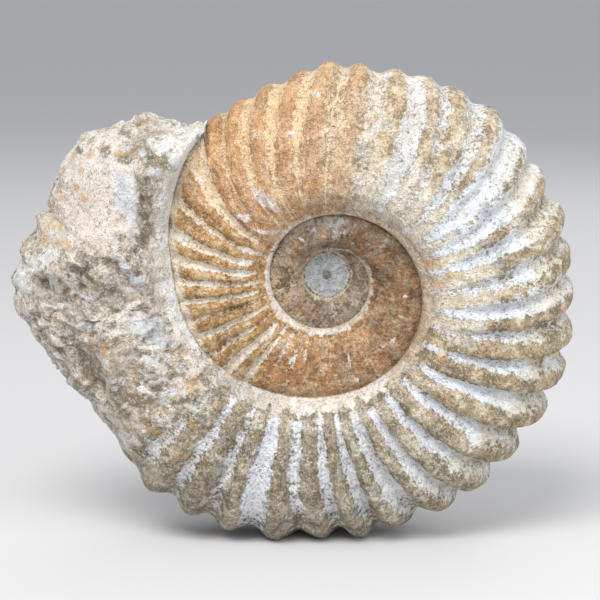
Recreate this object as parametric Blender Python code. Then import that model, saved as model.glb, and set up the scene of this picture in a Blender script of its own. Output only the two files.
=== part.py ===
"""Fossil ammonite: one stone, a ribbed coiled shell with rock filling the open end of its last turn.

The shell stands on the edge of its last turn, its flanks facing front (-Y) and back (+Y).
Lengths are in millimetres until the mesh is made.
Angles are in degrees about the coil's axis, anticlockwise from +X as seen from the front.
A turn is an angle counted clockwise along the coil, and it starts straight above the centre.
"""
import bisect
import math

import bmesh
import bpy
from mathutils import Vector, noise
from mathutils.geometry import delaunay_2d_cdt

NODE = "ammonite"
MM = 0.001

# Rib crests on the outer edge, clockwise: angle and radius
RIBS = (
    (125.3, 81.9), (117.3, 82.1), (107.4, 83.9), (97.8, 85.9), (89.1, 89.7), (80.8, 89.7), (71.0, 91.0),
    (63.4, 93.4), (55.2, 95.6), (44.5, 98.7), (34.5, 99.9), (25.6, 100.5), (15.4, 103.6), (4.7, 103.9),
    (-3.6, 105.0), (-13.1, 107.6), (-22.1, 110.2), (-32.5, 110.8), (-43.6, 111.5), (-53.2, 113.6),
    (-62.2, 113.9), (-73.4, 114.0), (-82.2, 115.8), (-90.8, 115.3), (-100.6, 118.6), (-111.2, 119.2),
    (-120.1, 120.5), (-129.5, 120.5),
)
# Broken outline of the rock, clockwise from the last rib back to the first one: angle and radius
ROCK = (
    (-129.5, 120.5), (-134.9, 119.7), (-138.1, 117.3), (-141.5, 115.1), (-147.0, 116.3), (-151.2, 114.6),
    (-153.9, 118.3), (-157.5, 120.3), (-162.2, 120.9), (-164.7, 123.6), (-167.9, 127.4), (-170.5, 128.5),
    (-173.0, 133.4), (-175.0, 134.8), (-177.8, 134.9), (-179.8, 133.4), (-183.1, 128.5), (-185.8, 130.1),
    (-189.6, 124.6), (-191.8, 125.8), (-193.7, 118.4), (-195.7, 122.6), (-203.2, 121.2), (-205.6, 119.9),
    (-209.0, 119.8), (-213.7, 111.8), (-217.8, 105.6), (-221.6, 103.0), (-222.9, 95.2), (-225.4, 86.6),
    (-226.4, 85.4), (-229.8, 83.4), (-234.7, 81.9),
)
# Radius of the rock behind its outline's points, which jut out only at mid thickness: clockwise angle, radius
ROCK_BODY = (
    (129.5, 120.5), (141.5, 114.0), (151.2, 113.6), (165.0, 119.0), (176.0, 126.0), (186.0, 122.0),
    (194.0, 117.0), (205.0, 115.5), (213.7, 109.5), (222.9, 94.0), (227.0, 84.5), (234.7, 81.9),
)
ROCK_STEPS = 10          # rib spacings that the rock takes up on the edge
RIB_SPLIT = 4            # columns of the mesh to a rib

# The seam where each turn lies on the one inside it: turn and radius, out to where the seam meets the edge
SEAM = (
    (0, 10.4), (60, 14.6), (120, 19.2), (180, 21.8), (270, 23.7), (360, 26.6), (390, 29.2), (420, 33.4),
    (450, 38.7), (480, 43.6), (510, 47.1), (540, 49.4), (570, 53.6), (583, 56.4), (600, 59.6), (630, 63.6),
    (660, 73.0), (680, 79.1),
)
SEAM_END = 680
DISC_RADIUS = 9.8        # small flat disc in the middle of the coil
DISC_HEIGHT = 6.5
# Half thickness of the coil on the rib crests: turn and height
GIRTH = ((0, 8.5), (180, 12.0), (360, 16.0), (540, 21.5), (680, 27.0), (760, 30.5), (850, 33.0), (1040, 37.0))
# How far each turn reaches on under the next one
HIDDEN = ((0, 4.5), (180, 7.5), (360, 9.5), (540, 12.5), (640, 14.0), (670, 9.5), (680, 2.3))
FLANK_CREST = 0.36       # where across a turn the flank stands highest
NARROW_CREST = 0.8       # most of a turn's visible width that lies inside its highest line
FLANK_POWER = 2.35       # roundness of the flank and the outer edge
# Steepness of the wall above a seam: turn and power
WALL_POWER = ((400, 2.4), (760, 2.6), (860, 3.4), (930, 3.4), (970, 1.7))
NARROW_RISE = 1.25       # most that a narrow strip stands above its seam, as a share of its width
EDGE_MARGIN = 0.8        # a seam that comes this close to the edge has met it

# Depth of the grooves between the ribs, on the edge and on the flank: turn and depth
EDGE_GROOVE = (
    (660, 1.5), (690, 2.2), (735, 2.6), (747, 1.6), (760, 2.8), (775, 3.4), (790, 4.6), (804, 3.4),
    (816, 3.6), (826, 5.0), (838, 7.3), (848, 7.2), (859, 5.2), (880, 5.2), (930, 4.4), (950, 2.6),
    (975, 0.0),
)
FLANK_GROOVE = (
    (535, 0.0), (575, 1.2), (620, 2.3), (700, 2.3), (790, 3.2), (880, 3.8), (925, 3.2), (950, 1.2),
    (970, 0.0),
)
RIBS_START = 0.03         # the ribs rise from nothing at this share of the way across from the seam
# Where across they have risen in full: turn and share
RIBS_FULL = ((660, 0.30), (730, 0.35), (775, 0.65), (830, 0.60), (870, 0.35), (1040, 0.30))
# How broad the ribs' crests are against the grooves: turn and power
RIB_BREADTH = (
    (560, 2.4), (660, 1.4), (720, 1.2), (765, 1.7), (800, 1.9), (860, 2.0), (890, 1.3), (915, 1.0),
    (970, 1.0),
)
# How much the ribs fade out halfway across the flank: turn and share
FLANK_FADE = ((660, 0.0), (690, 0.55), (735, 0.5), (790, 0.15), (830, 0.0))
FADE_MIDDLE = 0.5
FADE_WIDTH = 0.19
# How far the ribs have swung round at SWING_RADIUS, against where they end on the edge: rib number and angle
SWING = ((0, 15.2), (3, 12.5), (5, 2.0), (7.5, -14.0), (19, -14.6), (22, -8.0), (27, -3.5), (29, -0.5),
         (33, 10.4), (36, 15.7), (37, 15.2))
SWING_RADIUS = 51.0
SWING_INNER = 40.0
SWING_POWER = 0.77

# Corners of the rock's broken faces, which are flat between them: x, z and how far the corner stands out
FRONT_CORNERS = (
    (-60, 69, -0.8), (-73, 64, 1.2), (-87, 57, 0.6), (-98, 46, 0.4), (-62, 48, -1.8), (-74, 47, 2.0),
    (-87, 38, -0.8), (-106, 27, 1.5), (-65, 24, -1.6), (-76, 27, 1.8), (-92, 25, 1.5), (-118, 8, 5.0),
    (-104, 16, 6.0), (-89, 12, 6.8), (-79, 10, 4.5), (-67, 3, -0.5), (-113, -10, -4.5), (-98, -4, -0.5),
    (-87, -9, -3.0), (-76, -11, 1.2), (-107, -24, -6.0), (-96, -19, -4.5), (-92, -25, 4.6), (-80, -23, 3.4),
    (-67, -26, -0.5), (-111, -36, 1.5), (-100, -34, -8.0), (-90, -30, 5.6), (-104, -46, -1.0),
    (-95, -46, -5.5), (-90, -42, 3.0), (-79, -38, -1.5), (-72, -42, 1.0), (-88, -56, 0.5), (-81, -53, 3.4),
    (-76, -62, -1.0), (-67, -57, -1.2), (-56, -60, 0.6), (-73, -75, 1.6), (-59, -80, 0.0),
)
BACK_CORNERS = (
    (-60, 66, 0.0), (-76, 58, 1.5), (-92, 46, -2.0), (-64, 38, 2.0), (-80, 34, 3.0), (-100, 26, -2.5),
    (-70, 16, -1.0), (-88, 12, 4.5), (-112, 10, -3.0), (-100, -4, 1.0), (-80, -6, 4.0), (-66, -12, -1.5),
    (-108, -20, 2.0), (-90, -22, -1.5), (-74, -28, -3.0), (-98, -38, 1.5), (-82, -44, 2.0), (-66, -46, 2.5),
    (-78, -62, -1.5), (-62, -66, 1.0), (-70, -78, 0.0),
)
LEVEL_CORNERS = ((-160, 110, 0), (-160, 0, 0), (-160, -120, 0), (-25, -120, 0), (-25, 0, 0), (-25, 110, 0))
SAME_CORNER = 0.001      # corners closer than this would be one
ROCK_LUMPS = ((1.5, 17.0), (1.0, 9.0))   # height and size of the coarse and of the finer lumps
SIDE_APART = 40          # keeps the lumps of the two sides from being alike
ROCK_RISE = 0.25         # the rock's faces start at the seam and are full this share of the way across
FULL_HEIGHT = 8.0        # the faces fade out where the stone is thinner than this
THINNEST_ROCK = 0.35     # least share of its height that the rock keeps where it is hollow
ROCK_TURNS = (940, 975)  # the ribs give way to rock between these turns

FLOOR = -113.3           # height of the worn flat that the stone rests on, against the coil's axis
SEAM_ROUNDS = 12         # a column's sweep and the seam that it crosses are found in this many rounds
# Spacing of the mesh across a turn
CHAIN_STEP = 10.0
OUTER_TURN = 26.0        # extra way round the outer edge
SEAM_STEPS = 3           # most steps from the crest of a flank to a seam
EDGE_STEPS = 8           # most steps from the crest of a flank to the outer edge
WALL_TOP = 0.17          # first point above a seam, as a share of the way to the crest of the flank
NARROW = 2.5             # a turn narrower than this is one step wide
WIDE = 26.0              # a turn wider than this has one more step on its inner wall
STONE = (0.49, 0.37, 0.23, 1.0)


def smooth_through(keys, x):
    """Value at x of a smooth curve through the keys that never overshoots them."""
    places = [key[0] for key in keys]
    if x <= places[0]:
        return keys[0][1]
    if x >= places[-1]:
        return keys[-1][1]
    i = bisect.bisect_right(places, x) - 1

    def slope(n):
        if n in (0, len(keys) - 1):
            return 0.0
        before = (keys[n][1] - keys[n - 1][1]) / (places[n] - places[n - 1])
        after = (keys[n + 1][1] - keys[n][1]) / (places[n + 1] - places[n])
        if before * after <= 0:
            return 0.0
        return 2 * before * after / (before + after)

    width = places[i + 1] - places[i]
    s = (x - places[i]) / width
    start, end = keys[i][1], keys[i + 1][1]
    ease = s * s * (3 - 2 * s)
    bend = width * s * (1 - s) * (slope(i) * (1 - s) - slope(i + 1) * s)
    return start + (end - start) * ease + bend


def ramp(low, high, x):
    """0 below low, 1 above high and a soft rise between them."""
    s = min(1.0, max(0.0, (x - low) / (high - low)))
    return s * s * (3 - 2 * s)


RIB_COUNT = len(RIBS) - 1 + ROCK_STEPS
CREST_RADII = [(-angle, radius) for angle, radius in RIBS + ROCK[1:]]


def rib_height(rib, turn):
    """1 on a rib's crest and 0 in the groove, for a rib number that may have a fraction."""
    return 1 - (math.sin(math.pi * rib) ** 2) ** smooth_through(RIB_BREADTH, turn)


def edge_angle(rib):
    """Angle on the edge of a rib number."""
    last = len(RIBS) - 1
    if rib <= last:
        n = min(int(rib), last - 1)
        return RIBS[n][0] + (RIBS[n + 1][0] - RIBS[n][0]) * (rib - n)
    along = (rib - last) / ROCK_STEPS
    return RIBS[last][0] + (RIBS[0][0] - 360 - RIBS[last][0]) * along


class Column:
    """One line of the surface from the centre to the edge, which follows a rib's sweep."""

    def __init__(self, rib):
        self.rib = rib
        self.angle = edge_angle(rib)
        edge_turn = 90 - self.angle
        outer_turn = edge_turn + (720 if edge_turn < SEAM_END - 360 else 360)
        depth = smooth_through(EDGE_GROOVE, outer_turn) * (1 - rib_height(rib, outer_turn))
        self.edge = smooth_through(CREST_RADII, -self.angle) - depth
        self.jut = max(0.0, self.edge - smooth_through(ROCK_BODY, -self.angle))
        self.swing = smooth_through(SWING, rib)

    def angle_at(self, radius):
        reach = max(0.0, self.edge - max(radius, SWING_INNER)) / (self.edge - SWING_RADIUS)
        return self.angle + self.swing * reach ** SWING_POWER

    def turn_at(self, radius):
        return 90 - self.angle_at(radius)

    def seams(self):
        """The seams that this column crosses: how many turns out, and the radius."""
        found = []
        for out in range(3):
            radius = SWING_RADIUS
            for _ in range(SEAM_ROUNDS):
                turn = self.turn_at(radius) + 360 * out
                radius = smooth_through(SEAM, turn)
            if 0 < turn < SEAM_END and DISC_RADIUS < radius < self.edge - EDGE_MARGIN:
                found.append((out, radius))
        return found


def flat_faces(corners):
    """The flat three-cornered faces between the rock's corners."""
    corners = corners + LEVEL_CORNERS
    flat = delaunay_2d_cdt([Vector(corner[:2]) for corner in corners], [], [], 0, SAME_CORNER)
    return [[corners[flat[3][n][0]] for n in face] for face in flat[2]]


ROCK_FACES = {1: flat_faces(FRONT_CORNERS), -1: flat_faces(BACK_CORNERS)}


def rock_relief(x, z, side):
    """Height that the rock's broken faces and lumps add."""
    relief = 0.0
    for (ax, az, a), (bx, bz, b), (cx, cz, c) in ROCK_FACES[side]:
        double_area = (bx - ax) * (cz - az) - (cx - ax) * (bz - az)
        share_b = ((x - ax) * (cz - az) - (cx - ax) * (z - az)) / double_area
        share_c = ((bx - ax) * (z - az) - (x - ax) * (bz - az)) / double_area
        if share_b >= 0 and share_c >= 0 and share_b + share_c <= 1:
            relief = a + (b - a) * share_b + (c - a) * share_c
    for height, size in ROCK_LUMPS:
        relief += height * noise.noise(Vector((x, z, SIDE_APART * side)) / size)
    return relief


def rising_places(width):
    """Where a turn has its points between the inner seam and the crest of its flank, from 0 to 1."""
    if width < NARROW:
        return ()
    if width < WIDE:
        return (WALL_TOP, 1.0)
    return (WALL_TOP, 0.5, 1.0)


def groove_depth(column, turn, share):
    """How far the surface lies under the ribs' crests."""
    fading = math.exp(-((share - FADE_MIDDLE) / FADE_WIDTH) ** 2) * smooth_through(FLANK_FADE, turn)
    risen = ramp(RIBS_START, smooth_through(RIBS_FULL, turn), share)
    deepest = smooth_through(FLANK_GROOVE, turn) * risen * (1 - fading)
    return deepest * (1 - rib_height(column.rib, turn))


def strip_places(inner, inner_height, top, outer, hidden, steepness, jut):
    """Radii across one turn, each with the height it rises from and the share of the rise to the crest.

    The jut is how far the outline stands out at mid thickness, and None on a turn that ends at a seam.
    """
    places = []
    for s in rising_places(outer - inner):
        places.append((inner + (top - inner) * s, inner_height, 1 - (1 - s) ** steepness))
    reach = hidden - top
    if jut is not None:
        last = math.pi / 2
        steps = min(EDGE_STEPS, round((outer - top + OUTER_TURN) / CHAIN_STEP))
    else:
        last = math.asin(((outer - top) / reach) ** (FLANK_POWER / 2))
        steps = min(SEAM_STEPS, round((outer - top) / CHAIN_STEP))
    steps = max(1, steps)
    for n in range(1, steps + 1):
        tilt = last * n / steps
        rise = max(0.0, math.cos(tilt)) ** (2 / FLANK_POWER)
        radius = top + (reach - (jut or 0.0) * rise) * math.sin(tilt) ** (2 / FLANK_POWER)
        places.append((radius, 0.0, rise))
    return places


def strip_points(column, out, inner, inner_height, outer, side):
    """Points across one turn of the shell, from its inner seam to its outer seam or to the edge."""
    at_edge = outer == column.edge
    middle_turn = column.turn_at((inner + outer) / 2) + 360 * out
    hidden = outer if at_edge else outer + smooth_through(HIDDEN, middle_turn)
    top = inner + min(FLANK_CREST * (hidden - inner), NARROW_CREST * (outer - inner))
    steepness = smooth_through(WALL_POWER, middle_turn)
    jut = column.jut if at_edge else None
    points = []
    for radius, base, rise in strip_places(inner, inner_height, top, outer, hidden, steepness, jut):
        turn = column.turn_at(radius) + 360 * out
        share = (radius - inner) / (hidden - inner)
        crest = min(smooth_through(GIRTH, turn), inner_height + NARROW_RISE * (hidden - inner))
        crest -= groove_depth(column, turn, share)
        height = base + (crest - base) * rise
        angle = math.radians(column.angle_at(radius))
        x = radius * math.cos(angle)
        z = radius * math.sin(angle)
        if turn > ROCK_TURNS[0]:
            rocky = ramp(*ROCK_TURNS, turn) * ramp(0.0, ROCK_RISE, share) * min(1.0, height / FULL_HEIGHT)
            height = max(height + rocky * rock_relief(x, z, side), THINNEST_ROCK * height)
        points.append((x, z, height))
    return points


def column_points(column, side):
    """Points from the disc's rim to the edge, and which of them lie on a seam."""
    angle = math.radians(column.angle_at(DISC_RADIUS))
    points = [(DISC_RADIUS * math.cos(angle), DISC_RADIUS * math.sin(angle), DISC_HEIGHT)]
    marks = {}
    seams = column.seams()
    inner = DISC_RADIUS
    for out, radius in seams:
        points += strip_points(column, out, inner, points[-1][2], radius, side)
        marks[out] = len(points) - 1
        inner = radius
    last_out = seams[-1][0] + 1
    points += strip_points(column, last_out, inner, points[-1][2], column.edge, side)
    return points, marks


def shares_along(chain, places):
    """How far along the chain each of its vertices lies, from 0 to 1."""
    lengths = [0.0]
    for a, b in zip(chain, chain[1:]):
        lengths.append(lengths[-1] + math.dist(places[a], places[b]))
    return [length / lengths[-1] for length in lengths]


def zip_chains(left, right, places):
    """Triangles between two chains of vertices that run the same way."""
    left_shares = shares_along(left, places) + [2.0]
    right_shares = shares_along(right, places) + [2.0]
    faces = []
    i = j = 0
    while i < len(left) - 1 or j < len(right) - 1:
        if left_shares[i + 1] + left_shares[i] <= right_shares[j + 1] + right_shares[j]:
            faces.append((left[i], left[i + 1], right[j]))
            i += 1
        else:
            faces.append((left[i], right[j + 1], right[j]))
            j += 1
    return faces


def split_at(chain, places):
    """The chain cut into pieces that share the vertices at these places."""
    cuts = [0] + sorted(places) + [len(chain) - 1]
    return [chain[a:b + 1] for a, b in zip(cuts, cuts[1:])]


def join_columns(left, right, shift, places):
    """Triangles between two neighbouring columns, with an edge along each seam they share."""
    left_chain, left_marks = left
    right_chain, right_marks = right
    shared = [out for out in left_marks if out + shift in right_marks]
    left_pieces = split_at(left_chain, [left_marks[out] for out in shared])
    right_pieces = split_at(right_chain, [right_marks[out + shift] for out in shared])
    faces = []
    for left_piece, right_piece in zip(left_pieces, right_pieces):
        faces += zip_chains(left_piece, right_piece, places)
    return faces


def make_material():
    material = bpy.data.materials.new("fossil stone")
    material.use_nodes = True
    shader = material.node_tree.nodes["Principled BSDF"]
    shader.inputs["Base Color"].default_value = STONE
    shader.inputs["Roughness"].default_value = 0.85
    shader.inputs["Metallic"].default_value = 0.0
    return material


def stone_mesh():
    """The whole stone as one closed mesh: a front and a back face that share the edge."""
    columns = [Column(n / RIB_SPLIT) for n in range(RIB_COUNT * RIB_SPLIT)]
    vertices = []
    faces = []
    edge_vertices = []
    for side in (1, -1):
        centre = len(vertices)
        vertices.append((0.0, -side * DISC_HEIGHT, 0.0))
        chains = []
        for n, column in enumerate(columns):
            points, marks = column_points(column, side)
            shared_edge = side < 0
            chain = list(range(len(vertices), len(vertices) + len(points)))
            vertices += [(x, -side * height, z) for x, z, height in points]
            if shared_edge:
                vertices.pop()
                chain[-1] = edge_vertices[n]
            else:
                edge_vertices.append(chain[-1])
            chains.append((chain, marks))
        for n, chain in enumerate(chains):
            following = chains[(n + 1) % len(chains)]
            shift = 1 if n == len(chains) - 1 else 0
            faces.append((centre, chain[0][0], following[0][0]))
            faces += join_columns(chain, following, shift, vertices)
    vertices = [(x, y, max(z, FLOOR)) for x, y, z in vertices]
    middle_x = (min(v[0] for v in vertices) + max(v[0] for v in vertices)) / 2
    middle_y = (min(v[1] for v in vertices) + max(v[1] for v in vertices)) / 2
    placed = [((x - middle_x) * MM, (y - middle_y) * MM, (z - FLOOR) * MM) for x, y, z in vertices]
    mesh = bpy.data.meshes.new(NODE)
    mesh.from_pydata(placed, [], faces)
    shape = bmesh.new()
    shape.from_mesh(mesh)
    bmesh.ops.recalc_face_normals(shape, faces=shape.faces)
    shape.to_mesh(mesh)
    shape.free()
    return mesh


def main():
    for old in list(bpy.data.objects):
        bpy.data.objects.remove(old)
    mesh = stone_mesh()
    mesh.materials.append(make_material())
    stone = bpy.data.objects.new(NODE, mesh)
    bpy.context.scene.collection.objects.link(stone)


main()
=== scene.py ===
"""Fossil ammonite on a pale floor: the stone's fine surface, with its grain, chips and colours.

The surface is worked out in millimetres about the coil's axis and then set into the frame in metres.
Angles are in degrees, anticlockwise from +X as seen from the front (-Y).
A turn is an angle counted clockwise along the coil, and it starts straight above the centre.
"""
import math

import bpy
import numpy as np
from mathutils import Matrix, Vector, noise
from mathutils.geometry import delaunay_2d_cdt


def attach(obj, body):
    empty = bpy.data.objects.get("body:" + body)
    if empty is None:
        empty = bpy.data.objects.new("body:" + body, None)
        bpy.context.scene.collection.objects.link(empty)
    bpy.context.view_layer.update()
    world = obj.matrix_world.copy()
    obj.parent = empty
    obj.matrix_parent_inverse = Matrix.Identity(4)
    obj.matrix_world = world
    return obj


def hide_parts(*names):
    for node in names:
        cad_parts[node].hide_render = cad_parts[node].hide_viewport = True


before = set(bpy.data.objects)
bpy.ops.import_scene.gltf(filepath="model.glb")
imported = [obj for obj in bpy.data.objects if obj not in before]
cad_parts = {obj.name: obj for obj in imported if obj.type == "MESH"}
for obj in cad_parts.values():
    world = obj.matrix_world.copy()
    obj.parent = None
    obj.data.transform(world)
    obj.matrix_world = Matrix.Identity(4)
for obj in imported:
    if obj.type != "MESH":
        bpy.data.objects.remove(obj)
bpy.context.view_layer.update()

# The noise's random shifts are the same in every run
noise.seed_set(1)

MM = 0.001


class Curve:
    """A smooth curve through its keys that never overshoots them."""

    def __init__(self, keys):
        self.places, self.values = np.array(keys, float).T
        rise = np.diff(self.values) / np.diff(self.places)
        before, after = rise[:-1], rise[1:]
        turning = before * after <= 0
        total = np.where(turning, 1.0, before + after)
        self.slopes = np.zeros(len(keys))
        self.slopes[1:-1] = np.where(turning, 0.0, 2 * before * after / total)

    def __call__(self, x):
        x = np.clip(x, self.places[0], self.places[-1])
        i = np.clip(np.searchsorted(self.places, x, side="right") - 1, 0, len(self.places) - 2)
        width = self.places[i + 1] - self.places[i]
        s = (x - self.places[i]) / width
        start, end = self.values[i], self.values[i + 1]
        bend = width * s * (1 - s) * (self.slopes[i] * (1 - s) - self.slopes[i + 1] * s)
        return start + (end - start) * s * s * (3 - 2 * s) + bend


# Rib crests on the outer edge, clockwise: angle and radius
RIBS = (
    (125.3, 81.9), (117.3, 82.1), (107.4, 83.9), (97.8, 85.9), (89.1, 89.7), (80.8, 89.7), (71, 91),
    (63.4, 93.4), (55.2, 95.6), (44.5, 98.7), (34.5, 99.9), (25.6, 100.5), (15.4, 103.6), (4.7, 103.9),
    (-3.6, 105), (-13.1, 107.6), (-22.1, 110.2), (-32.5, 110.8), (-43.6, 111.5), (-53.2, 113.6),
    (-62.2, 113.9), (-73.4, 114), (-82.2, 115.8), (-90.8, 115.3), (-100.6, 118.6), (-111.2, 119.2),
    (-120.1, 120.5), (-129.5, 120.5),
)
# Broken outline of the rock, clockwise from the last rib back to the first one: angle and radius
ROCK = (
    (-129.5, 120.5), (-134.9, 119.7), (-138.1, 117.3), (-141.5, 115.1), (-147, 116.3), (-151.2, 114.6),
    (-153.9, 118.3), (-157.5, 120.3), (-162.2, 120.9), (-164.7, 123.6), (-167.9, 127.4), (-170.5, 128.5),
    (-173, 133.4), (-175, 134.8), (-177.8, 134.9), (-179.8, 133.4), (-183.1, 128.5), (-185.8, 130.1),
    (-189.6, 124.6), (-191.8, 125.8), (-193.7, 118.4), (-195.7, 122.6), (-203.2, 121.2), (-205.6, 119.9),
    (-209, 119.8), (-213.7, 111.8), (-217.8, 105.6), (-221.6, 103), (-222.9, 95.2), (-225.4, 86.6),
    (-226.4, 85.4), (-229.8, 83.4), (-234.7, 81.9),
)
# Radius behind the rock's points, which jut out only at mid thickness: angle clockwise and radius
rock_body = Curve((
    (129.5, 120.5), (141.5, 114), (151.2, 113.6), (165, 119), (176, 126), (186, 122), (194, 117),
    (205, 115.5), (213.7, 109.5), (222.9, 94), (227, 84.5), (234.7, 81.9),
))
ROCK_STEPS = 10  # rib spacings that the rock takes up on the edge

# The seam between the turns, out to where it meets the edge: turn and radius
seam_radius = Curve((
    (0, 10.4), (60, 14.6), (120, 19.2), (180, 21.8), (270, 23.7), (360, 26.6), (390, 29.2), (420, 33.4),
    (450, 38.7), (480, 43.6), (510, 47.1), (540, 49.4), (570, 53.6), (583, 56.4), (600, 59.6), (630, 63.6),
    (660, 73), (680, 79.1),
))
SEAM_END = 680
DISC_RADIUS = 9.8  # small flat disc in the middle of the coil
DISC_HEIGHT = 6.5
# Half thickness of the coil on the rib crests: turn and height
girth = Curve(((0, 8.5), (180, 12), (360, 16), (540, 21.5), (680, 27), (760, 30.5), (850, 33), (1040, 37)))
# How far each turn reaches on under the next one
hidden_reach = Curve(((0, 4.5), (180, 7.5), (360, 9.5), (540, 12.5), (640, 14), (670, 9.5), (680, 2.3)))
FLANK_CREST = 0.36  # where across a turn the flank stands highest
NARROW_CREST = 0.8  # most of a turn's visible width that lies inside its highest line
FLANK_POWER = 2.35  # roundness of the flank and the outer edge
# Steepness of the wall above a seam: turn and power
wall_power = Curve(((400, 2.4), (760, 2.6), (860, 3.4), (930, 3.4), (970, 1.7)))
NARROW_RISE = 1.25  # most that a narrow turn stands above its seam, as a share of its width
EDGE_MARGIN = 0.8  # a seam that comes this close to the edge has met it

# Depth of the grooves between the ribs, on the edge and on the flank: turn and depth
edge_groove = Curve((
    (660, 1.5), (690, 2.2), (735, 2.6), (747, 1.6), (760, 2.8), (775, 3.4), (790, 4.6), (804, 3.4),
    (816, 3.6), (826, 5), (838, 7.3), (848, 7.2), (859, 5.2), (880, 5.2), (930, 4.4), (950, 2.6), (975, 0),
))
flank_groove = Curve((
    (535, 0), (575, 1.2), (620, 2.3), (700, 2.3), (790, 3.2), (880, 3.8), (925, 3.2), (950, 1.2), (970, 0),
))
# How far the ribs have swung round at SWING_RADIUS, against the edge: rib number and angle
swing = Curve((
    (0, 15.2), (3, 12.5), (5, 2), (7.5, -14), (19, -14.6), (22, -8), (27, -3.5), (29, -0.5), (33, 10.4),
    (36, 15.7), (37, 15.2),
))
SWING_RADIUS = 51.0
SWING_INNER = 40.0
SWING_POWER = 0.77

# Corners of the rock's flat faces: x, z and how far the corner stands out
FRONT_CORNERS = (
    (-60, 69, -0.8), (-73, 64, 1.2), (-87, 57, 0.6), (-98, 46, 0.4), (-62, 48, -1.8), (-74, 47, 2),
    (-87, 38, -0.8), (-106, 27, 1.5), (-65, 24, -1.6), (-76, 27, 1.8), (-92, 25, 1.5), (-118, 8, 5),
    (-104, 16, 6), (-89, 12, 6.8), (-79, 10, 4.5), (-67, 3, -0.5), (-113, -10, -4.5), (-98, -4, -0.5),
    (-87, -9, -3), (-76, -11, 1.2), (-107, -24, -6), (-96, -19, -4.5), (-92, -25, 4.6), (-80, -23, 3.4),
    (-67, -26, -0.5), (-111, -36, 1.5), (-100, -34, -8), (-90, -30, 5.6), (-104, -46, -1), (-95, -46, -5.5),
    (-90, -42, 3), (-79, -38, -1.5), (-72, -42, 1), (-88, -56, 0.5), (-81, -53, 3.4), (-76, -62, -1),
    (-67, -57, -1.2), (-56, -60, 0.6), (-73, -75, 1.6), (-59, -80, 0),
)
BACK_CORNERS = (
    (-60, 66, 0), (-76, 58, 1.5), (-92, 46, -2), (-64, 38, 2), (-80, 34, 3), (-100, 26, -2.5),
    (-70, 16, -1), (-88, 12, 4.5), (-112, 10, -3), (-100, -4, 1), (-80, -6, 4), (-66, -12, -1.5),
    (-108, -20, 2), (-90, -22, -1.5), (-74, -28, -3), (-98, -38, 1.5), (-82, -44, 2), (-66, -46, 2.5),
    (-78, -62, -1.5), (-62, -66, 1), (-70, -78, 0),
)
LEVEL_CORNERS = ((-160, 110, 0), (-160, 0, 0), (-160, -120, 0), (-25, -120, 0), (-25, 0, 0), (-25, 110, 0))
SAME_CORNER = 0.001  # corners closer than this would be one
ROCK_LUMPS = ((1.5, 17), (1, 9))  # height and size of the coarse and of the finer lumps
ROCK_RISE = 0.25  # the faces rise from the seam and are full at this share of the way across
FULL_HEIGHT = 8.0  # the faces fade out where the stone is thinner than this
THINNEST_ROCK = 0.35  # least share of its height that the rock keeps in a hollow
SIDE_APART = 40  # keeps the lumps of the two sides from being alike
ROCK_TURNS = (940, 975)  # the ribs give way to rock between these turns

# How broad the ribs' crests are against the grooves: turn and power
rib_breadth = Curve((
    (560, 2.4), (660, 1.4), (720, 1.2), (765, 1.7), (800, 1.9), (860, 2), (890, 1.3), (915, 1), (970, 1),
))
# How much the ribs fade out halfway across the flank: turn and share
flank_fade = Curve(((660, 0), (690, 0.55), (735, 0.5), (790, 0.15), (830, 0)))
FADE_MIDDLE = 0.5
FADE_WIDTH = 0.19
RIBS_START = 0.03  # the ribs rise from nothing at this share of the way across from the seam
# Where across they have risen in full: turn and share
ribs_full = Curve(((660, 0.30), (730, 0.35), (775, 0.65), (830, 0.60), (870, 0.35), (1040, 0.30)))

FLOOR = -113.3  # height of the flat that the stone rests on, against the coil's axis

# Small relief of the shell: height, size and shift of each noise
SHELL_RELIEF = ((0.55, 15, 0), (0.38, 6.5, 3), (0.26, 2.9, 7), (0.12, 1.6, 11))
STREAK_HEIGHT = 0.16  # streaks along the ribs, which stand this far out
STREAK_SIZE = 1.7
CHIP_DEPTH = 0.55  # chips on the ribs
# Broken rock: size of its faces, depth of its hollows and lean of its faces for that size, and shift
COARSE_ROCK = (11.0, 0.14, 0.30, 70)
FINE_ROCK = ((5, 0.15, 0.30, 40), (2.4, 0.20, 0.38, 20))
BAND_LIFT = 0.9  # rim of the smooth band beside the rock: its height, place and width
BAND_LIFT_AT = 4.2
BAND_LIFT_WIDTH = 2.8
SHARP_ANGLE = 40  # edges sharper than this aren't shaded smooth
BUMP_STRENGTH = 0.9
BUMP_DISTANCE = 0.0014

LAST_TURN = 1040
# Width of the pale ridge or shelf along the inner seam of each turn: turn and width
seam_band = Curve((
    (0, 0.8), (360, 1.2), (400, 1.5), (540, 2.8), (640, 3), (690, 1.4), (760, 1.8), (800, 2.6), (850, 3.2),
    (885, 5.2), (920, 6.2), (1040, 5),
))
# How much white the grooves hold: turn and share
chalk_amount = Curve((
    (540, 0.3), (580, 1.15), (640, 1.15), (670, 1.1), (730, 1.1), (760, 1.05), (870, 1.05), (930, 0.95),
    (960, 0.5), (1000, 0),
))
# How much wider than the grooves their white is: turn and share of a rib
chalk_spread = Curve((
    (718, 0), (734, 0.36), (748, 0.3), (800, 0.32), (830, 0.16), (870, 0), (890, 0.08), (910, 0.17),
    (928, 0.06), (945, 0),
))
# Radius that streaks along the ribs are measured on, which sets how fine they are: turn and radius
flow_reach = Curve(((0, 12), (360, 20), (480, 36), (640, 56), (760, 80)))

# Smooth stretches of the rock: middle x and z, half length, half width and direction
CALM_ROCK = (
    (-97.5, 39.3, 20, 11, -58), (-84, 39.5, 13, 6, 95), (-96, 27, 18, 10, 5), (-67, 12.2, 24, 6, 90),
    (-90.5, 57, 8, 5, 20), (-111, 22, 11, 7, 12),
)

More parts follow.
